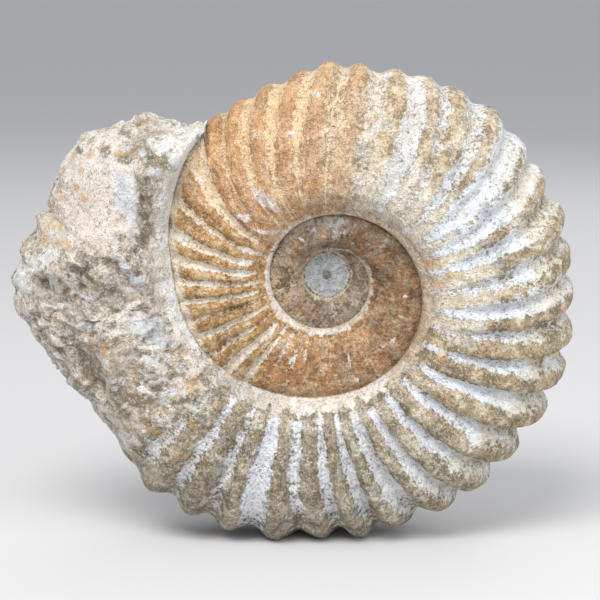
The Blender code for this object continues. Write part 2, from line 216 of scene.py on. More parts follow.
# Patches of colour on the rock, given in the same way. A few are painted light, as noted at them.
WHITE_ROCK_AND_HIGHLIGHT = (
    # The last mark on the next line and the first two after it, on the rock's left tip, are painted
    # highlight where the light falls on the tip
    (-65.6, 57.2, 5.4, 3, 12), (-60.5, 52.5, 6, 1.6, 52), (-115.6, 10.6, 6.6, 3, 22),
    (-123, 5.5, 5, 2.6, 50), (-127.5, -1, 8, 4.2, 75), (-113.8, -32, 1.6, 1.2, 0),
    (-112.5, -37.8, 3.7, 1.2, 125), (-124, -24.3, 1.6, 1.2, 0), (-74.1, -30.5, 2.5, 1.6, 0),
    (-76.2, -43.6, 2.9, 1.2, -15), (-72.8, -25.9, 5.7, 0.8, -10), (-81.3, -9.7, 5.7, 1.2, 42),
    (-111.2, -10, 2.9, 1.6, 10), (-99.6, -18.4, 3.3, 2, 0), (-61, 62.2, 2.5, 1.2, 10),
    (-72.3, 58.7, 1.6, 1.2, 0),
)
BLUE_ROCK = (
    (-82.4, 37, 10.8, 4.4, 104), (-81.2, 6.2, 9.8, 1.6, 123), (-70, 46.3, 2, 2.5, 90),
    (-73.8, -18, 8.2, 3.7, -25), (-75.5, 54.4, 2, 1.6, 0), (-68.8, -23.4, 4.1, 2, -30),
)
DARK_ROCK_AND_SHADE = (
    (-71.5, 53, 9, 4.4, -38), (-74.6, 40.5, 5, 3.8, 10), (-84, 52.6, 3.4, 1.6, 0),
    (-74.2, 55.4, 4, 2.2, -30), (-66.4, 49.5, 5.2, 2.4, -25), (-73.2, 41.9, 4.4, 3, 80),
    (-75, 31.5, 8.4, 3.6, 78), (-83.6, 50.3, 4.1, 1.1, 0), (-84.1, 19.9, 2, 1.6, 0),
    (-84, 40, 1.8, 1.2, -60), (-73.8, 20.5, 5.2, 3, 90), (-80.4, -48, 8.5, 3.6, -20),
    (-77, 65.2, 4, 1.1, 20), (-83.7, 61, 4.9, 1.2, -10), (-92, 54.3, 2.9, 2.5, 0),
    (-103.4, 53.2, 2, 1.6, 0), (-98.7, 6, 4.1, 2.5, 70), (-101.7, -1.1, 2, 2.5, 0),
    (-88.5, 9.2, 3.7, 2, -20), (-118.1, 0.2, 4.1, 1.6, 45), (-122.1, -15.1, 2.5, 2.5, 120),
    (-111.9, -29.7, 5.7, 1.6, -35), (-93.9, -33.7, 3.3, 1.2, 120), (-93.6, -44.5, 3.7, 0.8, 95),
    # The last mark on the next line, in the hollow of the pocket low on the rock, is painted shade
    (-69.9, -43, 2, 2.5, 80), (-65, -33.8, 2.9, 1.2, -30), (-100, -36, 9, 4.4, -55),
    (-80.6, -50.1, 4.9, 1.6, -15), (-83.3, -55, 2, 2, 0), (-87.9, -2.4, 3.3, 1.6, 60),
    (-107, -6, 2.9, 1.2, -40), (-77.7, -66.3, 3.7, 1.6, -50), (-67.3, -71.7, 3.3, 1.6, -40),
)
OCHRE_ROCK = (
    (-80, -47, 8, 3.6, -20), (-88, -33, 4, 2.6, 40), (-89.7, -25.1, 4.9, 2.5, -30),
    (-83.4, -37.7, 3.7, 2, -45), (-81.1, -44, 3.7, 1.6, -30), (-88.8, -48, 4.5, 1.2, 110),
    (-83.3, -57.1, 3.7, 2, 110), (-64.1, -48, 2.5, 1.2, 30), (-69.8, -51.7, 5.7, 2.5, -20),
    (-60.1, -29.4, 2.5, 1.6, 0), (-72.9, -60.5, 9, 3.7, -45), (-61.3, -71.6, 5.7, 3.3, -40),
    (-94.4, 0.7, 3.7, 1.6, 70), (-110.6, -17.1, 3.3, 1.6, -30), (-79, -35.9, 3.3, 1.6, -30),
    (-56.3, -58.3, 4.1, 2, -60),
)
YELLOW_ROCK = (
    (-113.2, 22.9, 6, 2, 3), (-109.5, 16.9, 5.6, 1.5, 14), (-116.9, 28.2, 3, 1.8, 80),
    (-117.5, 17, 2.5, 1.4, 60),
)
RUST_ROCK = (
    (-91.6, -28.2, 2.4, 2.8, 0), (-56.9, -42.2, 3.4, 3.4, 0), (-103.5, 39.1, 2.3, 2.2, 0),
    (-99.6, 35.5, 3.3, 1.8, -50), (-108.6, 34.6, 2.2, 1.7, 0), (-97.6, 51.9, 2.2, 2, 0),
    (-85, 53.6, 1.8, 1.6, 0), (-105.7, 51.2, 2.2, 1.6, 60), (-75.8, 64.4, 1.8, 1.6, 0),
    (-110, 44, 2.4, 1.2, 60), (-101, 46, 1.5, 1.2, 0), (-118.8, 18.6, 1.6, 1.2, 0),
    (-106.2, 15.9, 1.6, 0.8, 10), (-99.3, 33.6, 1.6, 0.8, -30), (-91, -45.2, 2, 0.8, 110),
)
# Sharp crests on the rock, given in the same way
CRESTS_ROCK = (
    (-79.5, -25.5, 16.5, 2, -20), (-90, -36, 8, 1.6, -75), (-113, 6, 11, 2.2, 20), (-96.5, -6, 9, 1.6, 80),
    (-78, 6, 11, 1.8, -60), (-84, -14, 8, 1.8, 35), (-70, -36, 7, 1.6, -35), (-84.5, -58, 8, 1.6, -65),
)
# How far the marks stand out of the rock
ROCK_LIFTS = ((CRESTS_ROCK, 1.5), (DARK_ROCK_AND_SHADE, -0.9), (WHITE_ROCK_AND_HIGHLIGHT + BLUE_ROCK, 0.5))

# Patches of colour on the shell, given in the same way
WHITE_SHELL = (
    (9.4, -34.5, 2.9, 0.7, -80), (1.8, -32.1, 1, 1, 0), (-9.4, -31, 2.2, 0.9, -80),
    (25.6, -27.1, 3.5, 0.8, 35), (3.5, -40.6, 2.2, 0.5, 10), (-4.9, -44.4, 0.8, 0.7, 0),
    (13.1, -42.3, 1.2, 0.8, 0), (-29.7, 60.4, 1.1, 1.6, 90), (-4.4, 77.1, 1.6, 1.8, 0),
    (-15.7, 61.5, 3.7, 0.8, 0), (-26.7, 34.9, 7.4, 2.3, -38), (-34.5, 26.4, 3.7, 1.7, -15),
    (-22.7, 20.1, 2.9, 1.2, -10), (-26.5, 20.3, 4.1, 0.8, -20), (-11, 16.4, 2, 0.6, -40),
    (32.8, -7.4, 1.4, 0.7, 0), (31.2, -16.4, 2.4, 0.6, 10), (28.8, -18.2, 1.8, 0.5, 0),
)
GREY_SHELL = (
    (65.5, 29.5, 4.5, 2.9, 40), (31.7, 45.5, 4.1, 2, 30), (46.4, 60.5, 2.5, 1.6, 50), (23.4, 65, 3.7, 2, 0),
    (13.1, 55.5, 2, 3.7, 80), (71, 7.4, 3.7, 2.5, 0), (58.9, -25.6, 4.1, 1.6, 0),
    (-10.9, -40.6, 3.3, 0.7, -5), (16.7, -6.1, 0.7, 0.9, 0), (-44.5, -78.3, 4.9, 3.3, 60),
    (3.5, 22, 9.5, 4.6, 0),
)
RUST_SHELL = (
    (48.3, -30.9, 3.3, 2.9, 0), (46, -1.8, 3.3, 1.6, 0), (50, 3.4, 2.5, 2, 0), (42.8, 7.9, 2, 3.3, 120),
    (55.7, 28.9, 1.6, 1, -10), (63.2, 22.8, 2, 1.2, 0), (59.5, 65.2, 1.2, 2, -50), (12.1, 84.4, 3.3, 2, 50),
    (-1.5, 17.4, 1.6, 0.8, 0),
)
# Kinds of patches: layer, marks, how solid and how strong they are, and two tones
PATCHES = (
    ("ochre_rock", OCHRE_ROCK, 0.46, 0.7, (198, 158, 102), (166, 138, 94)),
    ("dark_rock", DARK_ROCK_AND_SHADE, 0.52, 0.9, (108, 95, 71), (146, 133, 108)),
    ("blue_rock", BLUE_ROCK, 0.6, 0.85, (196, 203, 213), (224, 228, 233)),
    ("white_rock", WHITE_ROCK_AND_HIGHLIGHT, 0.64, 0.95, (230, 228, 224), (248, 247, 244)),
    ("yellow_rock", YELLOW_ROCK, 0.46, 0.75, (238, 212, 160), (228, 188, 122)),
    ("rust_rock", RUST_ROCK, 0.48, 0.75, (200, 142, 90), (224, 180, 130)),
    ("white_shell", WHITE_SHELL, 0.56, 0.8, (202, 198, 194), (230, 228, 226)),
    ("grey_shell", GREY_SHELL, 0.42, 0.8, (136, 139, 144), (174, 178, 180)),
    ("rust_shell", RUST_SHELL, 0.48, 0.7, (190, 134, 78), (220, 176, 118)),
)
BACK_TURNED = 137  # the patches are turned this far on the back

# The fine mesh
COLUMNS_PER_RIB = 20
DISC_POINTS = 12  # points of a traced column on the disc, up to a flank's crest and down from it
RISE_POINTS = 30
FALL_POINTS = 70
RISE_CROWDING = 1.6  # how much closer together the points are at the foot of a wall
SEAM_REACH = 4  # rows on each side of a seam that shift to meet it
SEAM_ROUNDS = 12  # rounds that find where a column crosses a seam, and the radius they start from
SEAM_GUESS = 50.0
# For each side: which it is, its rows, the thinning of its columns, and radii inside which they are halved
SIDES = ((1, 132, 1, (55.0, 27.0)), (-1, 72, 2, (45.0,)))

# Camera
CAMERA_RANGE = 0.9
CAMERA_DROP = 9.0  # degrees that the camera looks down
AIM_FROM_AXIS = (-0.0113, -0.0118)  # the aimed point against the coil's axis, across and up
VIEW_WIDTH = 0.2562  # what the picture takes in at the aimed point
SENSOR = 36
FLOOR_SIZE = 60
LIT_POINT = (0, 0, 0.1)  # the lights are aimed at the middle of the stone


def ramp(low, high, x):
    """0 at low and before it, 1 at high and past it, and a soft change between them."""
    s = np.clip((x - low) / (high - low), 0.0, 1.0)
    return s * s * (3 - 2 * s)


crest_radius = Curve([(-angle, radius) for angle, radius in RIBS + ROCK[1:]])
RIB_COUNT = len(RIBS) - 1 + ROCK_STEPS
RIB_NUMBERS = [*range(len(RIBS)), RIB_COUNT]
RIB_ANGLES = [angle for angle, _ in RIBS] + [RIBS[0][0] - 360]


def rib_height(rib, turn):
    """1 on a rib's crest and 0 in the groove, for a rib number that may have a fraction."""
    return 1 - (np.sin(np.pi * rib) ** 2) ** rib_breadth(turn)


class Column:
    """One line of the surface from the centre to the edge, which follows a rib's sweep."""

    def __init__(self, rib):
        self.rib = rib
        self.angle = float(np.interp(rib, RIB_NUMBERS, RIB_ANGLES))
        edge_turn = 90 - self.angle
        outer_turn = edge_turn + (720 if edge_turn < SEAM_END - 360 else 360)
        depth = edge_groove(outer_turn) * (1 - rib_height(rib, outer_turn))
        self.edge = float(crest_radius(-self.angle) - depth)
        self.jut = max(0.0, self.edge - float(rock_body(-self.angle)))
        self.swing = float(swing(rib))

    def angle_at(self, radius):
        reach = np.maximum(0.0, self.edge - np.maximum(radius, SWING_INNER)) / (self.edge - SWING_RADIUS)
        return self.angle + self.swing * reach ** SWING_POWER

    def turn_at(self, radius):
        return 90 - self.angle_at(radius)

    def seams(self):
        """The seams that this column crosses: how many turns out, and the radius."""
        found = []
        for out in range(3):
            radius = SEAM_GUESS
            for _ in range(SEAM_ROUNDS):
                turn = float(self.turn_at(radius)) + 360 * out
                radius = float(seam_radius(turn))
            if 0 < turn < SEAM_END and DISC_RADIUS < radius < self.edge - EDGE_MARGIN:
                found.append((out, radius))
        return found


def flat_faces(corners):
    """The flat three-cornered faces between the rock's corners."""
    corners = corners + LEVEL_CORNERS
    flat = delaunay_2d_cdt([Vector(corner[:2]) for corner in corners], [], [], 0, SAME_CORNER)
    return [[corners[flat[3][n][0]] for n in face] for face in flat[2]]


ROCK_FACES = {1: flat_faces(FRONT_CORNERS), -1: flat_faces(BACK_CORNERS)}


def rock_relief(x, z, side):
    """Height that the rock's broken faces and lumps add."""
    relief = np.zeros_like(x)
    for (ax, az, a), (bx, bz, b), (cx, cz, c) in ROCK_FACES[side]:
        double_area = (bx - ax) * (cz - az) - (cx - ax) * (bz - az)
        share_b = ((x - ax) * (cz - az) - (cx - ax) * (z - az)) / double_area
        share_c = ((bx - ax) * (z - az) - (x - ax) * (bz - az)) / double_area
        within = (share_b >= 0) & (share_c >= 0) & (share_b + share_c <= 1)
        relief[within] = (a + (b - a) * share_b + (c - a) * share_c)[within]
    places = np.stack([x, z, np.full_like(x, SIDE_APART * side)], axis=1)
    for height, size in ROCK_LUMPS:
        relief += height * spread(places, size)
    return relief


def spread(points, size, shift=0.0):
    """Smooth noise of a given size in millimetres at each point, from about -1 to 1."""
    return np.array([noise.noise(place) for place in (points / size + shift).tolist()])


# Places of a point's x, z and height among its values
X, Z, HEIGHT = range(3)


def strip(column, out, inner, inner_height, outer, side):
    """Points across one turn of the shell, from its inner seam to its outer seam or to the edge.

    Each has its x, z, height, turn, share of the way across, distance from the seam and share of rock.
    """
    at_edge = outer == column.edge
    middle_turn = float(column.turn_at((inner + outer) / 2)) + 360 * out
    hidden = column.edge if at_edge else outer + float(hidden_reach(middle_turn))
    top = inner + min(FLANK_CREST * (hidden - inner), NARROW_CREST * (outer - inner))
    reach = hidden - top
    last = math.asin(1.0 if at_edge else ((outer - top) / reach) ** (FLANK_POWER / 2))

    s = np.linspace(0, 1, RISE_POINTS)[1:] ** RISE_CROWDING
    tilt = last * np.linspace(0, 1, FALL_POINTS)[1:]
    rise = np.maximum(0.0, np.cos(tilt)) ** (2 / FLANK_POWER)
    reach = reach - (column.jut if at_edge else 0.0) * rise
    radius = np.concatenate([inner + (top - inner) * s, top + reach * np.sin(tilt) ** (2 / FLANK_POWER)])
    turn = column.turn_at(radius) + 360 * out
    share = (radius - inner) / (hidden - inner)
    crest = np.minimum(girth(turn), inner_height + NARROW_RISE * (hidden - inner))
    fade = flank_fade(turn) * np.exp(-((share - FADE_MIDDLE) / FADE_WIDTH) ** 2)
    depth = flank_groove(turn) * ramp(RIBS_START, ribs_full(turn), share) * (1 - fade)
    crest = crest - depth * (1 - rib_height(column.rib, turn))
    steepness = float(wall_power(middle_turn))
    rising = inner_height + (crest[:len(s)] - inner_height) * (1 - (1 - s) ** steepness)
    height = np.concatenate([rising, crest[len(s):] * rise])
    angle = np.radians(column.angle_at(radius))
    x = radius * np.cos(angle)
    z = radius * np.sin(angle)
    rocky = ramp(*ROCK_TURNS, turn)
    if rocky.max() > 0:
        relief = rocky * ramp(0.0, ROCK_RISE, share) * np.minimum(1.0, height / FULL_HEIGHT)
        relief = relief * rock_relief(x, z, side)
        height = np.maximum(height + relief, THINNEST_ROCK * height)
    if at_edge:
        height[-1] = 0.0
    return np.stack([x, z, height, turn, share, radius - inner, rocky], axis=1)


def trace(column, side):
    """The surface along a column from the centre to the edge, and the places of its seams in the list."""
    radius = np.linspace(0, DISC_RADIUS, DISC_POINTS)
    angle = np.radians(column.angle_at(radius))
    disc = np.zeros((len(radius), 7))
    disc[:, X] = radius * np.cos(angle)
    disc[:, Z] = radius * np.sin(angle)
    disc[:, HEIGHT] = DISC_HEIGHT
    parts = [disc]
    marks = []
    seams = column.seams()
    inner = DISC_RADIUS
    for out, outer in seams + [(seams[-1][0] + 1, column.edge)]:
        parts.append(strip(column, out, inner, parts[-1][-1, HEIGHT], outer, side))
        marks.append(sum(len(part) for part in parts) - 1)
        inner = outer
    return np.concatenate(parts), marks[:-1]


def spaced(points, marks, rows):
    """The traced column at evenly spaced places from the edge to the centre, with one on each seam."""
    steps = np.linalg.norm(np.diff(points[:, :HEIGHT + 1], axis=0), axis=1)
    along = np.concatenate([[0.0], np.cumsum(steps)])
    length = along[-1]
    wanted = np.linspace(length, 0, rows + 1)
    step = length / rows
    for mark in marks:
        nearest = np.argmin(np.abs(wanted - along[mark]))
        if 0 < nearest < rows:
            near = np.maximum(0.0, 1 - np.abs(np.arange(rows + 1) - nearest) / SEAM_REACH)
            near[0] = near[-1] = 0.0
            wanted = wanted + near * (along[mark] - wanted[nearest])
    return np.stack([np.interp(wanted, along, points[:, n]) for n in range(points.shape[1])], axis=1)


def join_rings(outer, inner, faces):
    """Faces between two rings of vertices, of which the inner one has as many as the outer one or half."""
    ratio = len(outer) // len(inner)
    for n, start in enumerate(inner):
        end = inner[(n + 1) % len(inner)]
        a, b, c = (outer[(ratio * n + step) % len(outer)] for step in range(3))
        if ratio == 1:
            faces.append((a, b, end, start))
        else:
            faces += (a, b, start), (b, end, start), (b, c, end)


def stone_mesh():
    """The values at each point of the whole stone, its side and rib number last, and the faces."""
    columns = [Column(n / COLUMNS_PER_RIB) for n in range(RIB_COUNT * COLUMNS_PER_RIB)]
    values = []
    faces = []
    edge_ring = None
    count = 0
    for side, rows, thin, halve_at in SIDES:
        grid = np.stack([spaced(*trace(column, side), rows) for column in columns], axis=1)
        radii = np.hypot(grid[:, :, X], grid[:, :, Z]).mean(axis=1)
        rings = []
        for row in range(rows):
            if row == 0 and edge_ring:
                rings.append(edge_ring)
                continue
            step = (thin if row else 1) * 2 ** sum(radii[row] < limit for limit in halve_at)
            picked = grid[row, ::step]
            ribs = [column.rib for column in columns[::step]]
            values.append(np.column_stack([picked, np.full(len(picked), side), ribs]))
            rings.append(list(range(count, count + len(picked))))
            count += len(picked)
        edge_ring = rings[0]
        values.append(np.append(grid[rows, 0], [side, 0])[None, :])
        centre = count
        count += 1
        side_faces = []
        for outer, inner in zip(rings, rings[1:]):
            join_rings(outer, inner, side_faces)
        last = rings[-1]
        side_faces += [(last[n], last[(n + 1) % len(last)], centre) for n in range(len(last))]
        faces += side_faces if side < 0 else [face[::-1] for face in side_faces]
    return np.concatenate(values), faces


def warped(points, size):
    """The points shifted about a little, so that a pattern of cells at them looks irregular."""
    shifts = [noise.noise_vector(place) for place in (points / size).tolist()]
    return points + 0.35 * size * np.array(shifts)


def chipped(points, size):
    """Shallow hollows that meet at sharp ridges, from 0 in their middles to about 1 on the ridges."""
    places = (warped(points, size) / size).tolist()
    return 2 * np.array([noise.voronoi(place)[0][0] for place in places]) ** 2


def broken(points, size):
    """Height of small flat faces, as on broken stone, for a size of 1."""
    heights = []
    for place in (warped(points, size) / size).tolist():
        nearest = noise.voronoi(place)[1][0]
        lean = noise.cell_vector(nearest * 7.3) - Vector((0.5, 0.5, 0.5))
        heights.append(lean.dot(Vector(place) - nearest))
    return np.array(heights)


def rubble(points, size, hollows, slabs, shift):
    """Height of broken rock, whose hollows and small faces have a size."""
    return size * (hollows * chipped(points, size) + slabs * broken(points + shift, size))


def marked(places, marks):
    """1 in the middle of any of the listed marks, falling to 0 outside it. Places are x + 1j * z."""
    total = np.zeros(len(places))
    for x, z, half_length, half_width, direction in marks:
        away = (places - complex(x, z)) * np.exp(-1j * math.radians(direction))
        away = np.hypot(away.real / half_length, away.imag / half_width)
        total = np.maximum(total, 1.35 - 0.85 * away)
    return np.clip(total, 0.0, 1.0)


values, faces = stone_mesh()
x, z, height, turn, share, wall, rocky, side, rib = values.T
middle_x = (x.min() + x.max()) / 2
points = np.stack([x, -side * height, z], axis=1)
radius = np.hypot(x, z)
places = x + 1j * z

mesh = bpy.data.meshes.new("ammonite_surface")
mesh.from_pydata(points, [], faces)
normals = np.zeros(len(points) * 3)
mesh.vertex_normals.foreach_get("vector", normals)
normals = normals.reshape(-1, 3)

# The flow follows the ribs and the other one the spiral, so that streaks of noise run along them
flow_angle = rib * 2 * np.pi / RIB_COUNT
reach = flow_reach(turn)
inward = radius / 4 + 0.33 * points[:, 1]
flow = np.stack([reach * np.cos(flow_angle), reach * np.sin(flow_angle), inward], axis=1)
spiral_angle = np.radians(turn)
around = np.stack([9 * np.cos(spiral_angle), 9 * np.sin(spiral_angle), radius + 0.5 * points[:, 1]], axis=1)

# The seam's pale ridge, and the smooth band beside it that was chiselled along the rock
ridge_width = seam_band(turn)
groove_number = np.clip(np.floor(rib), 0, RIB_COUNT).astype(int)
uneven = np.array([noise.cell((number * 3.7, 1.3, 8.1)) for number in range(RIB_COUNT + 1)])[groove_number]
scallops = ramp(840, 890, turn) * (1 - 2 * np.abs(np.cos(np.pi * rib))) * (0.15 + 0.3 * uneven)
edge_of_band = ridge_width * (0.95 + scallops + 0.3 * spread(points, 7.0, 51.0))
softness = 0.9 + 1.8 * ramp(800, 870, turn) + 0.6 * ramp(640, 560, turn)
band = ramp(edge_of_band + softness, edge_of_band - softness, wall)
band[radius < DISC_RADIUS] = 0.0
chiselled_width = 5.8 + 2.6 * ramp(1012, 1030, turn)
chiselled = ramp(1.2, -1.2, wall - chiselled_width + 1.6 * spread(points, 6.0, 61.0)) * rocky

wobble = 0.07 * spread(points, 13.0, 5.0) + 0.04 * spread(points, 5.0, 9.0)
across_rib = np.abs(np.cos(np.pi * (rib + wobble)))
starting = 0.02 + 0.08 * uneven
ribbed = ramp(540, 585, turn) * ramp(968, 940, turn) * ramp(starting, starting + 0.1, share)
rising = np.clip(-np.sin(2 * np.pi * (rib + wobble)), 0, 1)

# Fine relief of the shell, in millimetres
relief = STREAK_HEIGHT * spread(flow, STREAK_SIZE)
for height, size, shift in SHELL_RELIEF:
    relief += height * spread(points, size, shift)
relief -= CHIP_DEPTH * ramp(0.28, 0.5, spread(points, 5.2, 21.0)) * (0.3 + 0.7 * across_rib)
relief *= 1 - 0.6 * band
ridge = np.exp(-((wall - 0.55 * ridge_width) / (0.38 * ridge_width)) ** 2)
trough = np.exp(-((wall - 1.35 * ridge_width) / (0.3 * ridge_width)) ** 2)
raised = ramp(380, 560, turn) * ramp(930, 880, turn) * (radius > DISC_RADIUS)
relief += raised * (0.9 * ridge - 0.55 * trough)

# Fine relief of the rock
rock = np.flatnonzero(rocky > 0.02)
stones = points[rock]
calm = np.maximum(marked(places[rock], CALM_ROCK), 0.7 * ramp(0.0, 0.3, spread(stones, 19.0, 33.0)))
rough = rubble(stones, *COARSE_ROCK)
pitting = sum(rubble(stones, *kind) for kind in FINE_ROCK)
pitting = (1 - 0.85 * calm) * (pitting - pitting.mean()) + 0.35 * spread(stones, 1.6, 15.0)
rough = (1 - 0.7 * calm) * (rough - rough.mean()) + pitting
front = side[rock] > 0
for marks, lift in ROCK_LIFTS:
    rough += front * lift * marked(places[rock], marks)
rough *= 1 - 0.85 * chiselled[rock]
rough += BAND_LIFT * np.exp(-((wall[rock] - BAND_LIFT_AT) / BAND_LIFT_WIDTH) ** 2)
relief[rock] = relief[rock] * (1 - rocky[rock]) + rough * rocky[rock]
# The rock's fine relief as 0 to 1, which the material turns into painted highlight on high spots and
# painted shade in hollows
pit_highlight_and_shade = np.full(len(points), 0.5)
pit_highlight_and_shade[rock] = np.clip(0.5 + 0.22 * pitting / pitting.std(), 0, 1)

points = points + normals * relief[:, None]
points += (-middle_x, 0, -FLOOR)
points[:, 2] = np.maximum(points[:, 2], 0.0)
mesh.vertices.foreach_set("co", (points * MM).ravel())
mesh.shade_smooth()
mesh.set_sharp_from_angle(angle=math.radians(SHARP_ANGLE))
mesh.update()

# How white the grooves are, before the grain breaks it up, together with the painted light on the
# upward-facing slopes of the right-hand ribs
widening = 0.16 * (uneven - 0.5) + 0.10 * spread(flow, 9.0, 3.0)
early = ramp(655, 690, turn) * ramp(745, 720, turn) * (1 - rocky)
widening += (0.22 * ramp(0.5, 0.75, share) - 0.22 * ramp(0.6, 0.35, share)) * early
widening += chalk_spread(turn) * ramp(0.15, 0.4, share)
white = ramp(0.12, 0.68, 1 - across_rib + widening) * ribbed * chalk_amount(turn) * (0.78 + 0.35 * uneven)
# Partly deposit and partly painted light: white on the slope of each right-hand rib that faces up toward
# the light
white += 0.55 * ramp(765, 790, turn) * ramp(895, 870, turn) * rising * ramp(0.55, 0.75, share)
white *= 1 - 0.45 * ramp(0.72, 0.88, share) * ramp(760, 800, turn)
white -= 0.22 * relief * (1 - rocky)

# What the material knows at each point
inside_seam = seam_radius(turn) - radius
layers = {
    "turn": turn / LAST_TURN,
    "share": share,
    "chalk": np.clip(white, 0, 1),
    "sheltered": ramp(725, 750, turn) * ramp(850, 815, turn) * ramp(0.62, 0.3, share),
    "cream": ramp(760, 790, turn) * ramp(890, 860, turn) * ramp(0.62, 0.8, share) * (1 - rocky),
    "crest": across_rib * ribbed + 0.6 * (1 - ribbed),
    "band": band,
    "rock": ramp(928, 968, turn),
    "chiselled": chiselled,
    "pitting": pit_highlight_and_shade,
    "wall": np.clip(wall / 10, 0, 1),
    # Painted shade on each inner turn just inside the seam, where the next turn overhangs it
    "under": ramp(4.5, 0.0, inside_seam) * ramp(370, 400, turn) * ramp(605, 570, turn),
    "rim": ramp(5.0, 0.5, inside_seam) * ramp(590, 615, turn) * (turn < SEAM_END),
    "disc": ramp(DISC_RADIUS + 0.4, DISC_RADIUS - 1.6, radius),
    "disc_centre": ramp(3.2, 0.8, radius),
}
places = np.where(side > 0, places, places * np.exp(1j * math.radians(BACK_TURNED)))
layers["calm"] = marked(places, CALM_ROCK)
for name, marks, *_ in PATCHES:
    layers[name] = marked(places, marks)
for name, layer in layers.items():
    attribute = mesh.attributes.new(name, "FLOAT", "POINT")
    attribute.data.foreach_set("value", layer.astype(np.float32))
for name, vectors in (("flow", flow), ("around", around)):
    attribute = mesh.attributes.new(name, "FLOAT_VECTOR", "POINT")
    attribute.data.foreach_set("vector", vectors.astype(np.float32).ravel())

stone = bpy.data.objects.new("ammonite_surface", mesh)
scene = bpy.context.scene
scene.collection.objects.link(stone)


def srgb(*colour):
    """A colour given as 10 to 255 on a screen, as the shader wants it."""
    return *(((c / 255 + 0.055) / 1.055) ** 2.4 for c in colour), 1


